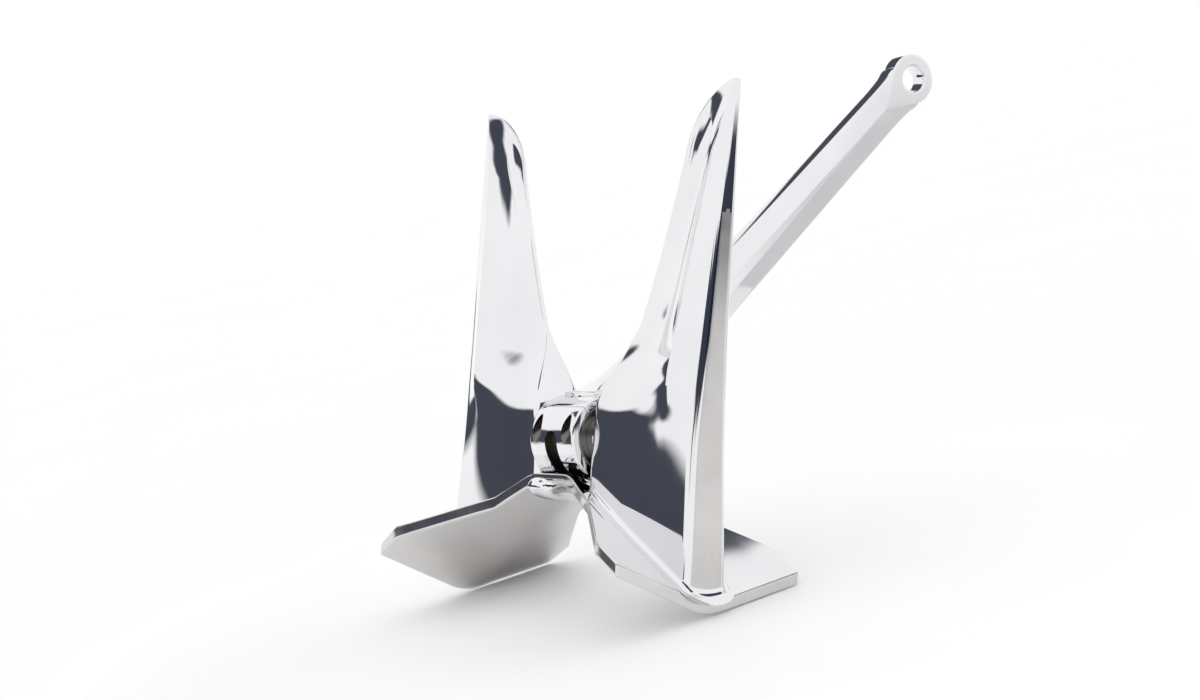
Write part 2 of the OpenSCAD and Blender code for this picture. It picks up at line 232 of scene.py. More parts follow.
POLISH = steel("polished_steel", (0.80, 0.80, 0.815), (0.76, 0.76, 0.775),
               (0.035, 0.075), 0.00025, 0.00001)
SATIN = steel("satin_steel", (0.64, 0.63, 0.62), (0.56, 0.55, 0.545),
              (0.26, 0.36), 0.0003, 0.00006, (1, 1, 0.08))
UNDER = steel("brushed_underside", (0.70, 0.69, 0.685), (0.62, 0.605, 0.595),
              (0.13, 0.20), 0.0002, 0.00001, (0.1, 1, 1))
TURNED = steel("turned_steel", (0.62, 0.62, 0.63), (0.55, 0.55, 0.56),
               (0.14, 0.24), 0.0001, 0.00003, (1, 0.1, 0.1))
# Near-black colour: painted shade for the screw pockets, the slot walls and the thrust washers between parts; the
# roughness is that of unpolished steel.
PAINTED_SHADE_STEEL = steel("painted_shade_rough_steel", (0.20, 0.19, 0.18), (0.12, 0.115, 0.11),
             (0.24, 0.38), 0.0002, 0.00006)
BRONZE = steel("bearing_bronze", (0.60, 0.42, 0.21), (0.50, 0.34, 0.17),
               (0.2, 0.34), 0.0001, 0.00003)


# ---------- flukes ----------
# Millimetres in the head's own frame: pin axis at the origin, X along the pin, Z up the flukes.

TIP_Z, TIP_START, ROOT_Z, RIDGE_Z = 307.0, 248.0, 33.0, 60.0
OUT_X, SPLAY, FOOT_SPREAD, FOOT_Z = 194.0, 13.0, 5.0, -120.0
IN_X, LEAN, SHOULDER_X, BOW = 43.0, 2.0, 134.0, 6.0
ROOT_T, DISH = 27.0, 6.0
BAND_TOP = 190.0
BAND_FOOT_T, BAND_T, BAND_TOP_T, BAND_EDGE_R = 22.0, 18.5, 9.6, 8.5
RIDGE_X, RIDGE_SPREAD, RIDGE_TIP_T = 163.0, 24.0, 9.0
SPLAY_POWER, TIP_POWER = 1.3, 1.6
TIP_T, TIP_W = 2.5, 7.0
PALM_Z, PALM_SLOPE, PALM_OUT, PALM_IN = 149.0, 0.53, 203.0, 30.0
PALM_T = 11.5
WING = math.tan(TILT)
FOLD_R = 16.0
CREASE_R = 9.0


def tip_t(z):
    return np.clip((z - TIP_START) / (TIP_Z - TIP_START), 0, 1)


def out_x(z):
    return OUT_X + SPLAY * (max(0.0, z) / TIP_Z) ** SPLAY_POWER + FOOT_SPREAD * smooth(z / FOOT_Z)


def out_y(z):
    if z < 0:
        return mix(BAND_T, BAND_FOOT_T, z / FOOT_Z)
    if z < BAND_TOP:
        return mix(BAND_T, BAND_TOP_T, z / BAND_TOP)
    return mix(BAND_TOP_T, TIP_T, (z - BAND_TOP) / (TIP_Z - BAND_TOP))


def in_x(z):
    if z < ROOT_Z:
        return IN_X + LEAN * smooth((z + 40) / (ROOT_Z + 40))
    if z < TIP_START:
        t = (z - ROOT_Z) / (TIP_START - ROOT_Z)
        return mix(IN_X + LEAN, SHOULDER_X, t) + BOW * math.sin(math.pi * t)
    t = float(tip_t(z))
    top = OUT_X + SPLAY - TIP_W
    return top - (top - SHOULDER_X) * (1 - t ** TIP_POWER) ** (1 / TIP_POWER)


def in_y(z):
    return mix(ROOT_T - 1, 1.2, smooth((z - 18) / (RIDGE_Z + 30)))


def ridge(z):
    if z < TIP_START:
        t = (z - RIDGE_Z) / (TIP_START - RIDGE_Z)
        return RIDGE_X + RIDGE_SPREAD * t, mix(ROOT_T, RIDGE_TIP_T, t)
    t = tip_t(z)
    return mix(RIDGE_X + RIDGE_SPREAD, OUT_X + SPLAY - 3, t), mix(RIDGE_TIP_T, TIP_T + 0.4, t)


def hollow(z):
    return DISH * smooth((z - 42) / 45) * (1 - 0.95 * smooth(tip_t(z))) - 2 * smooth((55 - z) / 40)


# Points along one half section: inner wall, its corner, hollow face, bevel, its corner, outer band
N_WALL, N_ARC, N_DISH, N_BEV, N_RND, N_BAND = 5, 6, 30, 8, 6, 7
I_RIDGE = N_WALL + N_ARC + N_DISH - 1
I_BAND = I_RIDGE + N_BEV + N_RND


def fluke_half(z):
    """Front half of a level section, from the inner face round to the outer face."""
    xi, yi = in_x(z), in_y(z)
    xr, yr = ridge(z)
    xo, yo = out_x(z), out_y(z)
    rc = min(yi * 0.98, mix(9.0, 1.2, smooth((z - 20) / 60)))
    rb = min(BAND_EDGE_R, yo * 0.6)
    pts = [(xi, -(yi - rc) * i / N_WALL) for i in range(N_WALL)]
    for i in range(N_ARC):
        a = math.pi / 2 * i / (N_ARC - 1)
        pts.append((xi + rc * (1 - math.cos(a)), -(yi - rc) - rc * math.sin(a)))
    for i in range(1, N_DISH + 1):
        t = i / N_DISH
        pts.append((mix(xi + rc, xr, t), -mix(yi, yr, t) + hollow(z) * 4 * t * (1 - t)))
    ex, ey = xo - rb, -yo
    for i in range(1, N_BEV + 1):
        t = i / N_BEV
        pts.append((mix(xr, ex, t), -mix(yr, yo, t)))
    for i in range(1, N_RND + 1):
        a = math.pi / 2 * i / N_RND
        pts.append((ex + rb * math.sin(a), ey + rb * (1 - math.cos(a))))
    for i in range(1, N_BAND + 1):
        pts.append((xo, (-yo + rb) * (1 - i / N_BAND)))
    p = np.array(pts)
    w = float(smooth((52 - z) / 40))
    if w > 0:  # the thick root is rounded by averaging neighbouring points
        q = p.copy()
        a, b = N_WALL + N_ARC - 2, I_RIDGE + N_BEV + 2
        for _ in range(120):
            q[a + 1:b] = 0.5 * q[a + 1:b] + 0.25 * (q[a:b - 1] + q[a + 2:b + 1])
        p = p * (1 - w) + q * w
    return p


def folded(y, r=FOLD_R):
    """A soft |y|, rounded over about r either side of the fold."""
    return np.where(np.abs(y) < r, y * y / (2 * r) + r / 2, np.abs(y))


def plate_base(x, y):
    past = np.abs(x) - PALM_IN
    r = CREASE_R
    past = np.where(np.abs(past) < r, (past + r) ** 2 / (4 * r), np.maximum(past, 0))
    return -PALM_Z + WING * folded(y) + PALM_SLOPE * (PALM_OUT - PALM_IN - past)


def loop_of(half):
    back = half[-2:0:-1] * np.array([1, -1])
    return np.vstack([half, back])


# The palm fillet and root reach up to BLADE_Z; sections below come from a table of levels
BLADE_Z, COVE_ROWS, ROOT_ROWS = 70, 9, 56


def fluke(name, side, mats):
    """One blade, from its fillet on the palm to its tip; side +1 is right."""
    zs_up = list(np.linspace(BLADE_Z, TIP_START, 60)) + [
        TIP_START + (TIP_Z - TIP_START) * math.sin(math.pi / 2 * i / 22) for i in range(1, 23)]
    table_z = np.linspace(-150, BLADE_Z, 111)
    table = np.array([loop_of(fluke_half(z)) for z in table_z])
    n = table.shape[1]

    def at(j, z):
        return np.array([np.interp(z, table_z, table[:, j, k]) for k in (0, 1)])

    foot = np.empty((n, 3))
    for j in range(n):
        z = -80.0
        for _ in range(25):
            q = at(j, z)
            z = 0.5 * z + 0.5 * float(plate_base(q[0], q[1]) + PALM_T)
        foot[j] = (*at(j, z), z)
    nrm = np.roll(foot[:, :2], -1, 0) - np.roll(foot[:, :2], 1, 0)
    nrm = np.stack([nrm[:, 1], -nrm[:, 0]], 1)
    nrm /= np.linalg.norm(nrm, axis=1)[:, None]
    cove = 2.0 + 8.0 * smooth((foot[:, 0] - 48) / 14)
    rows = []
    for k in range(COVE_ROWS):
        t = k / COVE_ROWS
        ring = np.empty((n, 3))
        for j in range(n):
            r = cove[j]
            a = np.array([*at(j, foot[j, 2] + r), foot[j, 2] + r])
            bxy = foot[j, :2] + nrm[j] * r
            b = np.array([*bxy, float(plate_base(bxy[0], bxy[1])) + PALM_T + 0.05])
            ring[j] = (1 - t) ** 2 * b + 2 * t * (1 - t) * foot[j] + t * t * a
        rows.append(ring)
    for k in range(ROOT_ROWS):
        t = k / ROOT_ROWS
        ring = np.empty((n, 3))
        for j in range(n):
            z0 = foot[j, 2] + cove[j]
            z = z0 + (BLADE_Z - z0) * t
            ring[j] = (*at(j, z), z)
        rows.append(ring)
    for z in zs_up:
        h = loop_of(fluke_half(z))
        rows.append(np.column_stack([h, np.full(n, z)]))
    top = rows[-1]
    mid = top.mean(0)
    for f, lift in ((0.75, 0.9), (0.4, 1.5), (0.05, 1.7)):
        r = mid + (top - mid) * f
        r[:, 2] = TIP_Z + lift * 0.4
        rows.append(r)
    v = np.vstack(rows)
    v[:, 0] *= side
    faces = grid_faces(len(rows), n, wrap=True)
    half_last = n // 2
    fm = []
    for i in range(len(rows) - 1):
        for j in range(n):
            z = v[i * n + j][2]
            jj = j if j <= half_last else 2 * half_last - 1 - j
            y = v[i * n + j][1]
            cap = BAND_TOP + 4 - 0.08 * y * y
            fm.append(1 if (jj >= I_BAND - 1 and z < cap and i >= COVE_ROWS - 1) else 0)
    base = (len(rows) - 1) * n
    faces.append(tuple(base + j for j in range(n)))
    fm.append(0)
    sharp = []
    for i in range(len(rows) - 4):
        for j in (I_RIDGE, n - I_RIDGE):
            if v[i * n + j][2] > 44:
                sharp.append((i * n + j, (i + 1) * n + j))
    ob = new_mesh(name, head(v), faces, mats, fm, sharp)
    return tidy_mesh(ob)


fluke_l = fluke("fluke_left_blade", -1, [POLISH, SATIN])
fluke_r = fluke("fluke_right_blade", 1, [POLISH, SATIN])


# ---------- palms and crown bridge ----------

# Half lengths of the palm at its inner edge, knee, chamfer and outer edge
PALM_IN_L, PALM_KNEE_L, PALM_CHAMFER_L = 38, 46, 95
PALM_KNEE_X, PALM_CHAMFER_X = 79, 172
PLATE_EDGE_R = 3.8


def plate(name, xs, half_l, mats, ends, under=1):
    """A folded plate over level stations xs, half_l(x) long each way; ends says which ends are closed."""
    ts = [-1, -0.95, -0.8, -0.62, -0.45, -0.3]
    fold = [-0.2, -0.15, -0.1, -0.05, 0, 0.05, 0.1, 0.15, 0.2]
    ts = ts + fold + [-t for t in ts[::-1]]
    n = len(ts)
    top, bot = [], []
    for x in xs:
        for t in ts:
            y = t * half_l(abs(x))
            z = float(plate_base(x, y))
            bot.append((x, y, z))
            top.append((x, y, z + PALM_T))
    v = np.array(top + bot)
    r = len(xs)
    off = r * n
    faces = grid_faces(r, n)
    fm = [0] * len(faces)
    low = [tuple(reversed(f)) for f in grid_faces(r, n, start=off)]
    faces += low
    fm += [under] * len(low)
    for i in range(r - 1):
        for j in (0, n - 1):
            a, b = i * n + j, (i + 1) * n + j
            faces.append((a, b, b + off, a + off))
            fm.append(under)
    for j in range(n - 1):
        for i in ends:
            a, b = i * (r - 1) * n + j, i * (r - 1) * n + j + 1
            faces.append((a, b, b + off, a + off))
            fm.append(under)
    ob = new_mesh(name, head(v), faces, mats, fm)
    tidy_mesh(ob)
    soften(ob, PLATE_EDGE_R, 5)
    return baked(ob)


def palm_half_l(x):
    if x < PALM_KNEE_X:
        return PALM_IN_L + (PALM_KNEE_L - PALM_IN_L) * (x - PALM_IN) / (PALM_KNEE_X - PALM_IN)
    if x < PALM_CHAMFER_X:
        spread_l = PALM_CHAMFER_L - PALM_KNEE_L
        return PALM_KNEE_L + spread_l * (x - PALM_KNEE_X) / (PALM_CHAMFER_X - PALM_KNEE_X)
    return PALM_CHAMFER_L - 2 * (x - PALM_CHAMFER_X) / (PALM_OUT - PALM_CHAMFER_X)


def palm_stations(side):
    xs = [30, 33, 36, 39, 48, 62, 79, 100, 120, 140, 158, 172, 180, 190, 198, 203]
    return [side * x for x in xs][::side]


palm_l = plate("palm_left_plate", palm_stations(-1), palm_half_l, [POLISH, UNDER], (0,))
palm_r = plate("palm_right_plate", palm_stations(1), palm_half_l, [POLISH, UNDER], (1,))
bridge = plate("crown_bridge_plate", [-30, -27, -24, -21, -12, 0, 12, 21, 24, 27, 30],
               lambda x: float(PALM_IN_L), [POLISH, UNDER], ())


def stop_tongue():
    """Stop lug: a rounded tongue that stands in the slot, with a curved lip in front of the crown."""
    rows, n = [], 24
    # Y and Z of the middle line, then half width and half thickness
    path = [(-0.5, -31.0, 6.6, 4.6), (-1.5, -36.0, 7.6, 5.4), (-6.0, -43.5, 9.5, 5.6),
            (-16.0, -48.0, 12.5, 6.8), (-27.0, -48.5, 15.5, 8.4), (-37.0, -47.5, 17.0, 9.4),
            (-45.0, -46.0, 16.6, 8.8), (-51.0, -43.0, 13.5, 6.0)]
    path = np.array(path)
    t = np.linspace(0, 1, len(path))
    tt = np.linspace(0, 1, 30)
    fine = np.stack([np.interp(tt, t, path[:, k]) for k in range(4)], 1)
    for _ in range(4):
        fine[1:-1] = 0.5 * fine[1:-1] + 0.25 * (fine[:-2] + fine[2:])
    for k, (y, z, hx, hy) in enumerate(fine):
        d = fine[min(k + 1, 29), :2] - fine[max(k - 1, 0), :2]
        d /= np.linalg.norm(d)
        nrm = np.array([-d[1], d[0]])
        ring = []
        for j in range(n):
            a = 2 * math.pi * j / n
            ca, sa = math.cos(a), math.sin(a)
            sx = math.copysign(abs(ca) ** 0.6, ca) * hx
            sy = math.copysign(abs(sa) ** 0.6, sa) * hy
            ring.append((sx, y + nrm[0] * sy, z + nrm[1] * sy))
        rows.append(ring)
    first, last = np.array(rows[0]), np.array(rows[-1])
    cap0 = [first.mean(0) + (first - first.mean(0)) * f + np.array([0, 0, lift])
            for f, lift in ((0.3, 1.2), (0.8, 0.8))]
    cap1 = [last.mean(0) + (last - last.mean(0)) * f + np.array([0, -lift, 0])
            for f, lift in ((0.8, 1.4), (0.3, 2.4))]
    v = np.vstack([*cap0, *[np.array(r) for r in rows], *cap1])
    total = len(v) // n
    faces = grid_faces(total, n, wrap=True)
    faces.append(tuple(range(n)))
    faces.append(tuple((total - 1) * n + j for j in range(n)))
    return tidy_mesh(new_mesh("stop_lug_tongue", head(v), faces, [POLISH]))


tongue = stop_tongue()


# ---------- shank ----------

L, EYE_R, HOLE_R, EYE_T = 500.0, 24.0, 12.5, 17.5
NECK_W, TAPER_W, ROOT_TH, EDGE_T, FLAT_W = 40.0, 12.5, 35.0, 15.0, 16.0
VEE_A, VEE_B, ROOT_D = L - 45.0, L - 10.0, 20.0
HUB_R, HUB_L, SHELL_R = 39.0, 36.0, 21.0


def down(d):
    return (VEE_A - d) / (VEE_A - ROOT_D)


def flare(d, s):
    return np.exp(-(d - ROOT_D) / s)


def vee(d):
    return np.clip((d - VEE_A) / (VEE_B - VEE_A), 0, 1)


def shank_w(d):
    if d > VEE_A:
        return NECK_W + 4 * vee(d) ** 2
    return NECK_W + TAPER_W * down(d) ** 1.3 + 20 * flare(d, 22)


def shank_t(d):
    return EYE_T if d > VEE_A else mix(EYE_T, ROOT_TH, down(d)) + 35 * flare(d, 13)


def shank_f(d):
    return shank_w(d) * vee(d) if d > VEE_A else FLAT_W * down(d) + 36 * flare(d, 13)


def shank_e(d):
    return mix(EDGE_T, EYE_T - 0.4, vee(d)) if d > VEE_A else EDGE_T + 44 * flare(d, 13)


def half_t(d, w):
    """Half thickness of the shank at a point of its side face."""
    t, f, e, wo = shank_t(d) / 2, shank_f(d) / 2, shank_e(d) / 2, shank_w(d) / 2
    if abs(w) <= f or d > VEE_B:
        return t
    return t - (t - e) * min(1.0, (abs(w) - f) / max(1e-6, wo - f))


def shank():
    """The bar from the hub to the eye, with its flared neck."""
    edge_r, hole_r = 2.0, 1.6
    d0 = 440.0
    lat = 12
    a_out = math.radians(116)

    def across(d):
        w, f = shank_w(d) / 2 - edge_r, shank_f(d) / 2
        pos = [w + (f - w) * i / lat for i in range(lat)] + [f - f * i / 3 for i in range(3)]
        return pos + [0.0] + [-p for p in pos[::-1]]

    outer, normals = [], []
    for k in range(73):
        a = -a_out + 2 * a_out * k / 72
        r = EYE_R - edge_r
        outer.append((L + r * math.cos(a), r * math.sin(a)))
        normals.append((math.cos(a), math.sin(a)))
    d_side = L + (EYE_R - edge_r) * math.cos(a_out)
    side = np.linspace(d_side, d0, 26)[1:]
    w_end = (EYE_R - edge_r) * math.sin(a_out)
    for d in side:
        blend = smooth((d_side - d) / 14)
        w = mix(w_end + (d - d_side) * -0.25, shank_w(d) / 2 - edge_r, blend)
        outer.append((d, float(w)))
        normals.append((0.0, 1.0))
    lat_pts = across(d0)
    n_side_end = len(outer) - 1
    for w in lat_pts[1:-1]:
        outer.append((d0, w))
        normals.append((0.0, 0.0))
    for d, (od, ow) in zip(side[::-1], outer[73:73 + len(side)][::-1]):
        outer.append((od, -ow))
        normals.append((0.0, -1.0))
    outer = np.array(outer)
    normals = np.array(normals)
    n = len(outer)
    for k in list(range(70, n_side_end)) + list(range(n - len(side) + 1, n)) + [0, 1, 2]:
        t = outer[(k + 1) % n] - outer[k - 1]
        t /= np.linalg.norm(t)
        normals[k] = (-t[1], t[0]) if np.dot((-t[1], t[0]), (0, outer[k][1])) > 0 else (t[1], -t[0])
    ang = np.arctan2(outer[:, 1], outer[:, 0] - L)
    inner = np.stack([L + (HOLE_R + hole_r) * np.cos(ang), (HOLE_R + hole_r) * np.sin(ang)], 1)
    verts, faces, fsharp = [], [], []

    def add(p):
        verts.append(p)
        return len(verts) - 1

    rings = 26
    ids = {}
    for s in (1, -1):
        grid = np.empty((rings + 1, n), int)
        for i in range(rings + 1):
            t = i / rings
            for j in range(n):
                p = inner[j] * (1 - t) + outer[j] * t
                grid[i, j] = add((s * float(half_t(p[0], p[1])), p[1], p[0]))
        ids[s] = grid
        for i in range(rings):
            for j in range(n):
                q = (grid[i, j], grid[i, (j + 1) % n], grid[i + 1, (j + 1) % n], grid[i + 1, j])
                faces.append(q)
    # hole wall
    prev = ids[1][0]
    for k in range(1, 5):
        a = math.pi / 2 * k / 4
        row = []
        for j in range(n):
            r = HOLE_R + hole_r * (1 - math.sin(a))
            row.append(add((EYE_T / 2 - hole_r * (1 - math.cos(a)),
                            r * math.sin(ang[j]), L + r * math.cos(ang[j]))))
        for j in range(n):
            faces.append((prev[j], prev[(j + 1) % n], row[(j + 1) % n], row[j]))
        prev = row
    for k in range(4, 0, -1):
        a = math.pi / 2 * k / 4
        row = []
        for j in range(n):
            r = HOLE_R + hole_r * (1 - math.sin(a))
            row.append(add((-EYE_T / 2 + hole_r * (1 - math.cos(a)),
                            r * math.sin(ang[j]), L + r * math.cos(ang[j]))))
        for j in range(n):
            faces.append((prev[j], prev[(j + 1) % n], row[(j + 1) % n], row[j]))
        prev = row
    for j in range(n):
        faces.append((prev[j], prev[(j + 1) % n], ids[-1][0][(j + 1) % n], ids[-1][0][j]))
    # shaft
    stations = [d0 - (d0 - 22) * (i / 70) ** 0.85 for i in range(1, 71)]
    m = len(lat_pts)
    start = n_side_end
    line = [start + i for i in range(m)]
    cols = {}
    for s in (1, -1):
        prev = [ids[s][rings][j % n] for j in line]
        cols[s] = [(prev[0], prev[-1], d0)]
        for d in stations:
            row = [add((s * float(half_t(d, w)), w, d)) for w in across(d)]
            for j in range(m - 1):
                faces.append((prev[j], prev[j + 1], row[j + 1], row[j]))
            if d > 50:
                for j in (lat, m - 1 - lat):
                    fsharp.append((prev[j], row[j]))
            prev = row
            cols[s].append((row[0], row[-1], d))
        ids[(s, "end")] = prev
    # edge loop round the outline, from the root up one side, over the eye and down the other
    loop = []
    for k in range(len(stations), 0, -1):
        loop.append((cols[1][k][1], cols[-1][k][1], np.array((0.0, -1.0))))
    side_ids = list(range(start + m - 1, n)) + list(range(0, start + 1))
    for j in side_ids:
        jj = j % n
        loop.append((ids[1][rings][jj], ids[-1][rings][jj], normals[jj]))
    for k in range(1, len(stations) + 1):
        loop.append((cols[1][k][0], cols[-1][k][0], np.array((0.0, 1.0))))
    strip = []
    for a_id, b_id, nv in loop:
        a, b = verts[a_id], verts[b_id]
        nv = nv / max(1e-9, np.linalg.norm(nv))
        col = [a_id]
        for k in range(1, 5):
            f = math.pi / 2 * k / 4
            col.append(add((a[0] - edge_r * (1 - math.cos(f)), a[1] + nv[1] * edge_r * math.sin(f),
                            a[2] + nv[0] * edge_r * math.sin(f))))
        for k in range(4, 0, -1):
            f = math.pi / 2 * k / 4
            col.append(add((b[0] + edge_r * (1 - math.cos(f)), b[1] + nv[1] * edge_r * math.sin(f),
                            b[2] + nv[0] * edge_r * math.sin(f))))
        col.append(b_id)
        strip.append(col)
    for c0, c1 in zip(strip, strip[1:]):
        for k in range(len(c0) - 1):
            faces.append((c0[k], c0[k + 1], c1[k + 1], c1[k]))
    end = list(ids[(1, "end")]) + strip[0][1:-1] + list(ids[(-1, "end")])[::-1] + strip[-1][1:-1][::-1]
    faces.append(tuple(end))
    ob = new_mesh("shank_bar", arm(np.array(verts)), faces, [POLISH], None, fsharp)
    return tidy_mesh(ob)


shank_ob = shank()


# ---------- hub ----------

def lathe(name, profile, mats, seg=128):
    rows = []
    for x, r in profile:
        rows += [(x, r * math.sin(2 * math.pi * k / seg), r * math.cos(2 * math.pi * k / seg))
                 for k in range(seg)]
    v = np.array(rows)
    faces = grid_faces(len(profile), seg, wrap=True)
    last = (len(profile) - 1) * seg
    faces += [(last + k, last + (k + 1) % seg, (k + 1) % seg, k) for k in range(seg)]
    return tidy_mesh(new_mesh(name, arm(v), faces, mats))


def rim(x, r_in, r_out, c):
    """Ring section between radii with rounded outer rims at +-x."""
    p = [(-x, r_in)]
    for k in range(5):
        a = math.pi / 2 * k / 4
        p.append((-x + c * (1 - math.sin(a)), r_out - c * (1 - math.cos(a))))
    q = [(-a, b) for a, b in p[::-1]]
    body = p[:1] + sorted(p[1:], key=lambda s: s[0]) + [(-x / 3, r_out), (x / 3, r_out)]
    return body + sorted(q[:-1], key=lambda s: s[0]) + [q[-1]]


def box_cutter(name, lo, hi):
    v = [(x, y, z) for x in (lo[0], hi[0]) for y in (lo[1], hi[1]) for z in (lo[2], hi[2])]
    f = [(0, 1, 3, 2), (4, 6, 7, 5), (0, 4, 5, 1), (2, 3, 7, 6), (0, 2, 6, 4), (1, 5, 7, 3)]
    return tidy_mesh(new_mesh(name, arm(np.array(v, float)), f, [POLISH], shade=False))


# Screw pockets in the hub cap
SCREW_X, SCREW_W, POCKET_R, POCKET_FLOOR = 24.0, 31.0, 7.1, 4.0


def drill(name, x, w, r, z0, z1):
    seg = 64
    v = [(x + r * math.cos(2 * math.pi * k / seg), w + r * math.sin(2 * math.pi * k / seg), z)
         for z in (z0, z1) for k in range(seg)]
    f = grid_faces(2, seg, wrap=True) + [tuple(range(seg)), tuple(seg + k for k in range(seg))]
    # The pocket cutter carries the painted shade colour onto the pocket walls.
    return tidy_mesh(new_mesh(name, arm(np.array(v, float)), f, [PAINTED_SHADE_STEEL]))


def slot_cutter():
    """Circumferential slot with rounded ends, opening away from the eye."""
    half, floor_r, reach, a = 10.0, 29.0, 46.0, math.radians(53.7)
    outline = []
    for k in range(13):
        f = -math.pi / 2 + math.pi * k / 12
        outline.append((half * math.sin(f), a - (1 - math.cos(f)) * half / 39.0))
    outline += [(x, -t) for x, t in outline[::-1]]
    dense = []
    for p, q in zip(outline, outline[1:] + outline[:1]):
        steps = 24 if abs(p[1] - q[1]) > 0.5 else 1
        dense += [(p[0] + (q[0] - p[0]) * i / steps, p[1] + (q[1] - p[1]) * i / steps) for i in range(steps)]
    v, n = [], len(dense)
    for r in (floor_r, reach):
        v += [(x, -r * math.sin(t), -r * math.cos(t)) for x, t in dense]
    f = grid_faces(2, n, wrap=True)
    low = [(0.0, -floor_r * math.sin(t), -floor_r * math.cos(t)) for x, t in dense]
    high = [(0.0, -reach * math.sin(t), -reach * math.cos(t)) for x, t in dense]
    base = len(v)
    v += low + high
    for i in range(n):
        j = (i + 1) % n
        f.append((i, j, base + j, base + i))
        f.append((n + i, n + j, base + n + j, base + n + i))
    # The slot cutter carries the painted shade colour onto the slot walls.
    ob = new_mesh("slot_cutter", arm(np.array(v, float)), f, [PAINTED_SHADE_STEEL])
    return tidy_mesh(ob, merge=1e-6)


def cut(ob, cutter):
    m = ob.modifiers.new("cut", "BOOLEAN")
    m.operation = "DIFFERENCE"
    m.solver = "EXACT"
    # Walls cut by a cutter take its material, here the painted shade colour.
    m.material_mode = "TRANSFER"
    m.object = cutter
    baked(ob)
    bpy.data.objects.remove(cutter)


def hub_piece(name, side, gap):
    profile = rim(HUB_L, SHELL_R, HUB_R, 2.5)
    ob = lathe(name, profile, [POLISH])
    lo, hi = (-60, -60, gap if side < 0 else -60), (60, 60, 60 if side < 0 else -gap)
    cut(ob, box_cutter("halver", lo, hi))
    return ob


hub_top = hub_piece("hub_saddle_body", 1, 0.0)
cap = hub_piece("hub_cap_body", -1, -0.35)
cut(cap, slot_cutter())
for sx in (-1, 1):
    for sy in (-1, 1):
        cut(cap, drill("pocket", sx * SCREW_X, sy * SCREW_W, POCKET_R, -60.0, -POCKET_FLOOR))
for ob in (hub_top, cap):
    sharpen(ob, 25)
    soften(ob, 0.8, 3, 30)
    baked(ob)


# ---------- what rides where ----------

for ob, node, slot_name in (
        (fluke_l, "fluke_left", "polished_fluke"), (fluke_r, "fluke_right", "polished_fluke"),
        (palm_l, "palm_left", "polished_palm"), (palm_r, "palm_right", "polished_palm"),
        (bridge, "crown_bridge", "polished_crown"),
        (tongue, "stop_lug", "polished_crown")):
    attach(ob, "head")
    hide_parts(node)
for ob, node, slot_name in (
        (shank_ob, "shank", "polished_shank"), (hub_top, "hub_saddle", "polished_cap"),
        (cap, "hub_cap", "polished_cap")):
    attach(ob, "shank_arm")
    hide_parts(node)

SLOT_LOOKS = {"polished_crown": POLISH, "ground_pin": TURNED, "bronze_bearing": BRONZE,
              "fastener_steel": TURNED}
slots = {s["node"]: s["material_slot"] for s in frame["record"]["subparts"]}
for name, ob in frame["nodes"].items():
    # Thrust washers between the parts are given the painted shade colour.
    look = PAINTED_SHADE_STEEL if name.startswith("thrust_washer") else SLOT_LOOKS.get(slots.get(name), POLISH)
    for s in ob.material_slots:
        s.material = look
    if not ob.material_slots:
        ob.data.materials.append(look)


# ---------- studio ----------

FLOOR_Z = -0.0005


def floor():
    v = [(x, y, FLOOR_Z) for x, y in ((-60, -60), (60, -60), (60, 60), (-60, 60))]
    m, nt, bsdf, coord = material("pale_floor")
    pale = tint(nt, noise(nt, coord, 3.0), (0.93, 0.93, 0.93), (0.91, 0.91, 0.912))
    nt.links.new(pale, bsdf.inputs["Base Color"])
    nt.links.new(spread(nt, noise(nt, coord, 20.0), 0.55, 0.65), bsdf.inputs["Roughness"])
    return new_mesh("studio_floor", v, [(0, 1, 2, 3)], [m], shade=False)


floor()

# Dark gaps in a white light tent, each a rounded bar between two directions seen from the tent's middle:
# compass and height of both ends, half width, edge softness (all degrees), and depth from 0 to 1.
# Compass runs from +Y to +X.
GAPS = [
    (62, 7, 100, 8, 8, 2.2, 0.97),
    (100, 8, 152, 20, 8, 2.2, 0.97),
    (-165, 2, -100, 6, 9, 2.2, 0.95),
    (-136, 44, -112, 38, 5, 2.2, 0.95),
    (-50, 48, -28, 40, 13, 2.2, 0.94),
    (18, -22, 26, 2, 12, 14, 0.34),
]
NAVY = (0.010, 0.017, 0.038)
TENT_MIDDLE = (0.0, -0.1, 0.2)
TENT_R = 0.6
STUDIO_LIGHT = 1.08
WOBBLE_SCALE, WOBBLE = 5.0, 0.16


def math_node(nt, op, a, b=None, c=None, clamp=False):
    n = nt.nodes.new("ShaderNodeMath")
    n.operation = op
    n.use_clamp = clamp
    for k, v in enumerate((a, b, c)):
        if v is None:
            continue
        if isinstance(v, (int, float)):
            n.inputs[k].default_value = v
        else:
            nt.links.new(v, n.inputs[k])
    return n.outputs[0]


def gap_light(nt, az, el, gap):
    """How much light is left at a direction, 1 outside the gap."""
    a0, e0, a1, e1, half_w, soft, depth = gap
    da, de = a1 - a0, e1 - e0
    pa = math_node(nt, "SUBTRACT", az, a0)
    pe = math_node(nt, "SUBTRACT", el, e0)
    span = da * da + de * de
    along = math_node(nt, "MULTIPLY_ADD", pa, da / span, math_node(nt, "MULTIPLY", pe, de / span), True)
    qa = math_node(nt, "MULTIPLY_ADD", along, -da, pa)
    qe = math_node(nt, "MULTIPLY_ADD", along, -de, pe)
    far2 = math_node(nt, "MULTIPLY_ADD", qa, qa, math_node(nt, "MULTIPLY", qe, qe))
    dist = math_node(nt, "SQRT", far2)
    shade = math_node(nt, "MULTIPLY_ADD", dist, -1 / soft, half_w / soft + 0.5, True)
    return math_node(nt, "MULTIPLY_ADD", shade, -depth, 1.0)


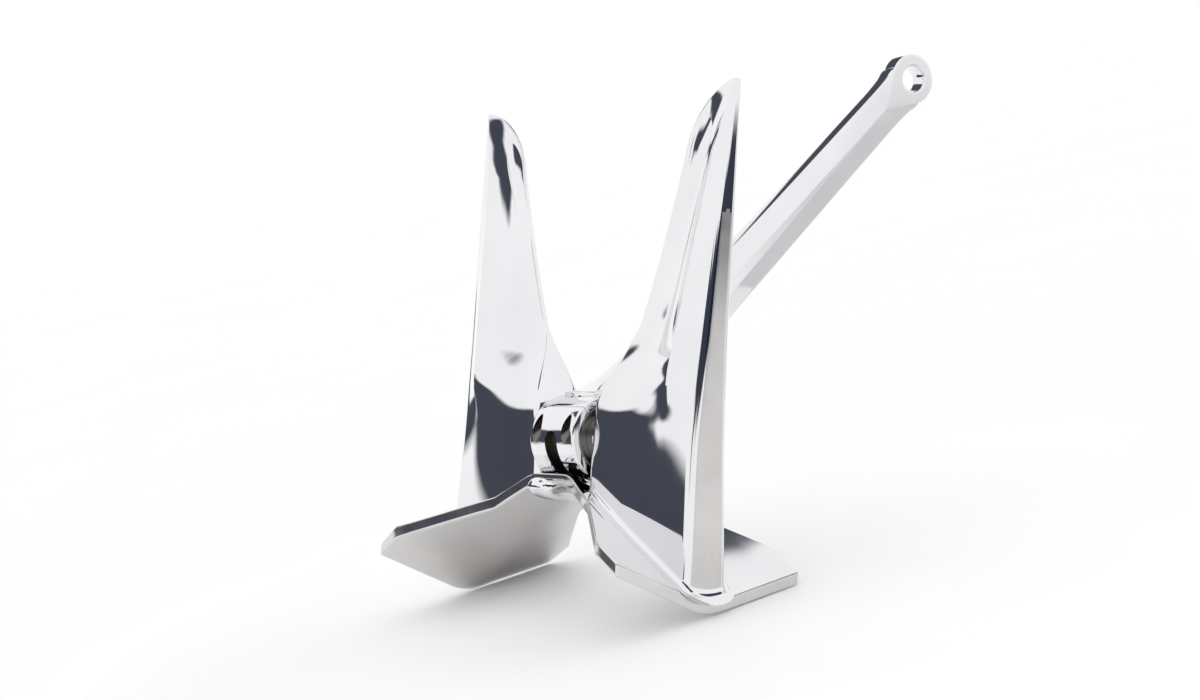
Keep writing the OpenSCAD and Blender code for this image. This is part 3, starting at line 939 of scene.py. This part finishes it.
def light_tent():
    """Backdrop that only reflections see: white, with dark gaps whose edges wander a little."""
    bpy.ops.mesh.primitive_uv_sphere_add(segments=96, ring_count=48, radius=TENT_R, location=TENT_MIDDLE)
    ob = bpy.context.object
    ob.name = "light_tent"
    for way in ("camera", "diffuse", "shadow", "transmission", "volume_scatter"):
        setattr(ob, "visible_" + way, False)
    m = bpy.data.materials.new("light_tent")
    m.use_nodes = True
    nt = m.node_tree
    nt.nodes.clear()
    coord = nt.nodes.new("ShaderNodeTexCoord")
    wobble = nt.nodes.new("ShaderNodeTexNoise")
    wobble.inputs["Scale"].default_value = WOBBLE_SCALE
    wobble.inputs["Detail"].default_value = 1.5
    nt.links.new(coord.outputs["Object"], wobble.inputs["Vector"])
    shift = nt.nodes.new("ShaderNodeVectorMath")
    shift.operation = "MULTIPLY_ADD"
    shift.inputs[1].default_value = (WOBBLE, WOBBLE, WOBBLE)
    nt.links.new(wobble.outputs["Color"], shift.inputs[0])
    back = nt.nodes.new("ShaderNodeVectorMath")
    back.operation = "SUBTRACT"
    back.inputs[1].default_value = (WOBBLE / 2, WOBBLE / 2, WOBBLE / 2)
    nt.links.new(coord.outputs["Object"], back.inputs[0])
    nt.links.new(back.outputs[0], shift.inputs[2])
    unit = nt.nodes.new("ShaderNodeVectorMath")
    unit.operation = "NORMALIZE"
    nt.links.new(shift.outputs[0], unit.inputs[0])
    sep = nt.nodes.new("ShaderNodeSeparateXYZ")
    nt.links.new(unit.outputs[0], sep.inputs[0])
    x, y, z = sep.outputs
    az = math_node(nt, "MULTIPLY", math_node(nt, "ARCTAN2", x, y), 180 / math.pi)
    el = math_node(nt, "MULTIPLY", math_node(nt, "ARCSINE", z), 180 / math.pi)
    light = None
    for gap in GAPS:
        keep = gap_light(nt, az, el, gap)
        light = keep if light is None else math_node(nt, "MULTIPLY", light, keep)
    tone = nt.nodes.new("ShaderNodeMix")
    tone.data_type = "RGBA"
    tone.inputs["A"].default_value = (*NAVY, 1)
    tone.inputs["B"].default_value = (1.0, 1.0, 1.0, 1)
    nt.links.new(light, tone.inputs["Factor"])
    glow = nt.nodes.new("ShaderNodeEmission")
    glow.inputs["Strength"].default_value = STUDIO_LIGHT
    nt.links.new(tone.outputs["Result"], glow.inputs["Color"])
    out = nt.nodes.new("ShaderNodeOutputMaterial")
    nt.links.new(glow.outputs[0], out.inputs[0])
    ob.data.materials.append(m)
    return ob


def white_world():
    world = bpy.data.worlds.new("studio")
    bpy.context.scene.world = world
    world.use_nodes = True
    nt = world.node_tree
    nt.nodes.clear()
    bg = nt.nodes.new("ShaderNodeBackground")
    bg.inputs["Color"].default_value = (1.0, 1.0, 1.0, 1)
    bg.inputs["Strength"].default_value = STUDIO_LIGHT
    out = nt.nodes.new("ShaderNodeOutputWorld")
    nt.links.new(bg.outputs[0], out.inputs[0])


light_tent()
white_world()

# ---------- camera ----------

EYE = (2.343, -1.593, 0.560)
TARGET = (-0.016, -0.126, 0.212)
ROLL = -12.57

cam_data = bpy.data.cameras.new("camera")
cam_data.sensor_width = 36.0
cam_data.lens = 92.75
cam_data.clip_end = 50
cam = bpy.data.objects.new("camera", cam_data)
bpy.context.scene.collection.objects.link(cam)
stand = Vector(EYE)
aim = (Vector(TARGET) - stand).to_track_quat("-Z", "Y")
turn = Matrix.Rotation(math.radians(ROLL), 4, "Z")
cam.matrix_world = Matrix.Translation(stand) @ aim.to_matrix().to_4x4() @ turn
bpy.context.scene.camera = cam

view = bpy.context.scene.view_settings
view.view_transform = "Standard"
view.look = "None"
